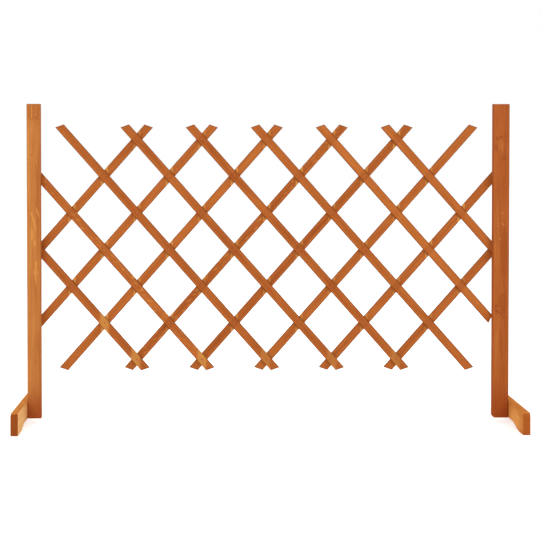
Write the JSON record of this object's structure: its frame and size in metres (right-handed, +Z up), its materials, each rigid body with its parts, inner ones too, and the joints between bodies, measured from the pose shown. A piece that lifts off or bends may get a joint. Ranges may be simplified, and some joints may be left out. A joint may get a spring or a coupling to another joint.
{
  "type": "expanding trellis fence",
  "caption": "Free-standing wooden trellis fence whose thin slats turn on rivets at their crossings, so the lattice folds like lazy tongs between posts on arched feet.",
  "frame": {"origin": "on the floor, in the middle of the fence's box as it stands open", "axes": "+X to the right as seen from the front, +Y from front to back, +Z up"},
  "size_m": [1.4014, 0.4, 0.9],
  "materials": {
    "slat_wood": "orange wood stain, satin",
    "post_wood": "orange wood stain, satin",
    "foot_wood": "orange wood stain, satin",
    "rivet_steel": "steel under a film of stain",
    "screw_steel": "zinc plated"
  },
  "bodies": {
    "left_stand": {"left_post": "post_wood", "left_foot": "foot_wood", "left_foot_screws": "screw_steel", "left_pivot_screw": "screw_steel", "left_pivot_washer": "screw_steel"},
    "right_stand": {"right_post": "post_wood", "right_foot": "foot_wood", "right_foot_screws": "screw_steel", "right_pivot_screw": "screw_steel", "right_pivot_washer": "screw_steel"},
    "front_slat_1": {"front_slat_1": "slat_wood", "rivets_1": "rivet_steel"},
    "front_slat_2": {"front_slat_2": "slat_wood", "rivets_2": "rivet_steel"},
    "front_slat_3": {"front_slat_3": "slat_wood", "rivets_3": "rivet_steel"},
    "front_slat_4": {"front_slat_4": "slat_wood", "rivets_4": "rivet_steel"},
    "front_slat_5": {"front_slat_5": "slat_wood", "rivets_5": "rivet_steel"},
    "front_slat_6": {"front_slat_6": "slat_wood", "rivets_6": "rivet_steel"},
    "front_slat_7": {"front_slat_7": "slat_wood", "rivets_7": "rivet_steel"},
    "front_slat_8": {"front_slat_8": "slat_wood", "rivets_8": "rivet_steel"},
    "rear_slat_1": {"rear_slat_1": "slat_wood"},
    "rear_slat_2": {"rear_slat_2": "slat_wood"},
    "rear_slat_3": {"rear_slat_3": "slat_wood"},
    "rear_slat_4": {"rear_slat_4": "slat_wood"},
    "rear_slat_5": {"rear_slat_5": "slat_wood"},
    "rear_slat_6": {"rear_slat_6": "slat_wood"},
    "rear_slat_7": {"rear_slat_7": "slat_wood"},
    "rear_slat_8": {"rear_slat_8": "slat_wood"}
  },
  "joints": [
    {"name": "fold", "type": "hinge", "parent": "left_stand", "child": "rear_slat_1", "pos_m": [-0.64873, 0.0166, 0.488], "axis": [0, -1, 0], "range_deg": [-13.5, 35.5]},
    {"name": "front_slat_1_turn", "type": "hinge", "parent": "left_stand", "child": "front_slat_1", "pos_m": [-0.64873, 0.0166, 0.488], "axis": [0, -1, 0], "range_deg": [-35.5, 13.5]},
    {"name": "front_slat_2_turn", "type": "hinge", "parent": "rear_slat_1", "child": "front_slat_2", "pos_m": [-0.55663, 0.0166, 0.5921], "axis": [0, -1, 0], "range_deg": [-71, 27]},
    {"name": "front_slat_3_turn", "type": "hinge", "parent": "rear_slat_1", "child": "front_slat_3", "pos_m": [-0.46452, 0.0166, 0.69621], "axis": [0, -1, 0], "range_deg": [-71, 27]},
    {"name": "front_slat_4_turn", "type": "hinge", "parent": "rear_slat_1", "child": "front_slat_4", "pos_m": [-0.37242, 0.0166, 0.80031], "axis": [0, -1, 0], "range_deg": [-71, 27]},
    {"name": "rear_slat_2_turn", "type": "hinge", "parent": "front_slat_4", "child": "rear_slat_2", "pos_m": [-0.28031, 0.0166, 0.69621], "axis": [0, -1, 0], "range_deg": [-27, 71]},
    {"name": "rear_slat_3_turn", "type": "hinge", "parent": "front_slat_4", "child": "rear_slat_3", "pos_m": [-0.18821, 0.0166, 0.5921], "axis": [0, -1, 0], "range_deg": [-27, 71]},
    {"name": "rear_slat_4_turn", "type": "hinge", "parent": "front_slat_4", "child": "rear_slat_4", "pos_m": [-0.0961, 0.0166, 0.488], "axis": [0, -1, 0], "range_deg": [-27, 71]},
    {"name": "rear_slat_5_turn", "type": "hinge", "parent": "front_slat_4", "child": "rear_slat_5", "pos_m": [-0.004, 0.0166, 0.38389], "axis": [0, -1, 0], "range_deg": [-27, 71]},
    {"name": "rear_slat_6_turn", "type": "hinge", "parent": "front_slat_4", "child": "rear_slat_6", "pos_m": [0.0881, 0.0166, 0.27979], "axis": [0, -1, 0], "range_deg": [-27, 71]},
    {"name": "rear_slat_7_turn", "type": "hinge", "parent": "front_slat_4", "child": "rear_slat_7", "pos_m": [0.18021, 0.0166, 0.17569], "axis": [0, -1, 0], "range_deg": [-27, 71]},
    {"name": "front_slat_5_turn", "type": "hinge", "parent": "rear_slat_7", "child": "front_slat_5", "pos_m": [0.27231, 0.0166, 0.27979], "axis": [0, -1, 0], "range_deg": [-71, 27]},
    {"name": "front_slat_6_turn", "type": "hinge", "parent": "rear_slat_7", "child": "front_slat_6", "pos_m": [0.36442, 0.0166, 0.38389], "axis": [0, -1, 0], "range_deg": [-71, 27]},
    {"name": "front_slat_7_turn", "type": "hinge", "parent": "rear_slat_7", "child": "front_slat_7", "pos_m": [0.45652, 0.0166, 0.488], "axis": [0, -1, 0], "range_deg": [-71, 27]},
    {"name": "front_slat_8_turn", "type": "hinge", "parent": "rear_slat_7", "child": "front_slat_8", "pos_m": [0.54863, 0.0166, 0.5921], "axis": [0, -1, 0], "range_deg": [-71, 27]},
    {"name": "rear_slat_8_turn", "type": "hinge", "parent": "front_slat_7", "child": "rear_slat_8", "pos_m": [0.54863, 0.0166, 0.38389], "axis": [0, -1, 0], "range_deg": [-27, 71]},
    {"name": "right_post_turn", "type": "hinge", "parent": "front_slat_8", "child": "right_stand", "pos_m": [0.64073, 0.0166, 0.488], "axis": [0, -1, 0], "range_deg": [-13.5, 35.5]}
  ],
  "couplings": [
    {"joint": "front_slat_1_turn", "follows": "fold", "ratio": -1},
    {"joint": "front_slat_2_turn", "follows": "fold", "ratio": -2},
    {"joint": "front_slat_3_turn", "follows": "fold", "ratio": -2},
    {"joint": "front_slat_4_turn", "follows": "fold", "ratio": -2},
    {"joint": "rear_slat_2_turn", "follows": "fold", "ratio": 2},
    {"joint": "rear_slat_3_turn", "follows": "fold", "ratio": 2},
    {"joint": "rear_slat_4_turn", "follows": "fold", "ratio": 2},
    {"joint": "rear_slat_5_turn", "follows": "fold", "ratio": 2},
    {"joint": "rear_slat_6_turn", "follows": "fold", "ratio": 2},
    {"joint": "rear_slat_7_turn", "follows": "fold", "ratio": 2},
    {"joint": "front_slat_5_turn", "follows": "fold", "ratio": -2},
    {"joint": "front_slat_6_turn", "follows": "fold", "ratio": -2},
    {"joint": "front_slat_7_turn", "follows": "fold", "ratio": -2},
    {"joint": "front_slat_8_turn", "follows": "fold", "ratio": -2},
    {"joint": "rear_slat_8_turn", "follows": "fold", "ratio": 2},
    {"joint": "right_post_turn", "follows": "fold", "ratio": 1}
  ]
}
